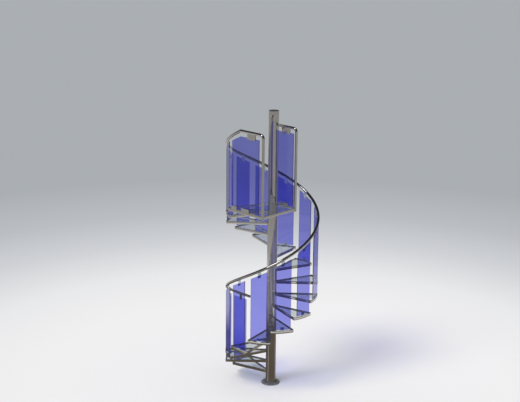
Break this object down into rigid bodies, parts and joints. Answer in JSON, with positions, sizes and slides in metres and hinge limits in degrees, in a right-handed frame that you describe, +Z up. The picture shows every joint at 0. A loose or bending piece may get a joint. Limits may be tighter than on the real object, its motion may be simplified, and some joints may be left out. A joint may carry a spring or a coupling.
{
  "type": "spiral staircase",
  "caption": "Spiral staircase with a steel column, clear glass treads in bent flat-bar frames, tinted flat glass panels under a helical handrail, and a square landing.",
  "frame": {"origin": "centre of the base flange's underside, on the floor, on the column's axis", "axes": "+Z up along the column; -Y faces the viewer, and the stair climbs anticlockwise seen from above"},
  "size_m": [1.5243, 1.6582, 4.6302],
  "materials": {
    "polished_steel": "polished",
    "plate_steel": "satin",
    "violet_glass": "gloss",
    "clear_glass": "gloss"
  },
  "bodies": {
    "root": {"base_flange": "polished_steel", "column": "polished_steel", "column_cap": "polished_steel", "tread_frame_01": "polished_steel", "tread_frame_02": "polished_steel", "tread_frame_03": "polished_steel", "tread_frame_04": "polished_steel", "tread_frame_05": "polished_steel", "tread_frame_06": "polished_steel", "tread_frame_07": "polished_steel", "tread_frame_08": "polished_steel", "tread_frame_09": "polished_steel", "tread_frame_10": "polished_steel", "tread_frame_11": "polished_steel", "tread_frame_12": "polished_steel", "tread_frame_13": "polished_steel", "tread_frame_14": "polished_steel", "tread_frame_15": "polished_steel", "tread_glass": "clear_glass", "panel_01": "violet_glass", "panel_02": "violet_glass", "panel_03": "violet_glass", "panel_04": "violet_glass", "panel_05": "violet_glass", "panel_06": "violet_glass", "panel_07": "violet_glass", "panel_08": "violet_glass", "panel_09": "violet_glass", "panel_10": "violet_glass", "panel_11": "violet_glass", "panel_12": "violet_glass", "panel_13": "violet_glass", "panel_14": "violet_glass", "panel_15": "violet_glass", "panel_feet": "plate_steel", "rail_brackets": "plate_steel", "handrail_1": "polished_steel", "handrail_2": "polished_steel", "handrail_3": "polished_steel", "landing_frame": "polished_steel", "landing_glass": "clear_glass", "landing_rail_left": "polished_steel", "landing_rail_right": "polished_steel", "guard_glass": "violet_glass", "guard_plates": "plate_steel"}
  },
  "joints": []
}
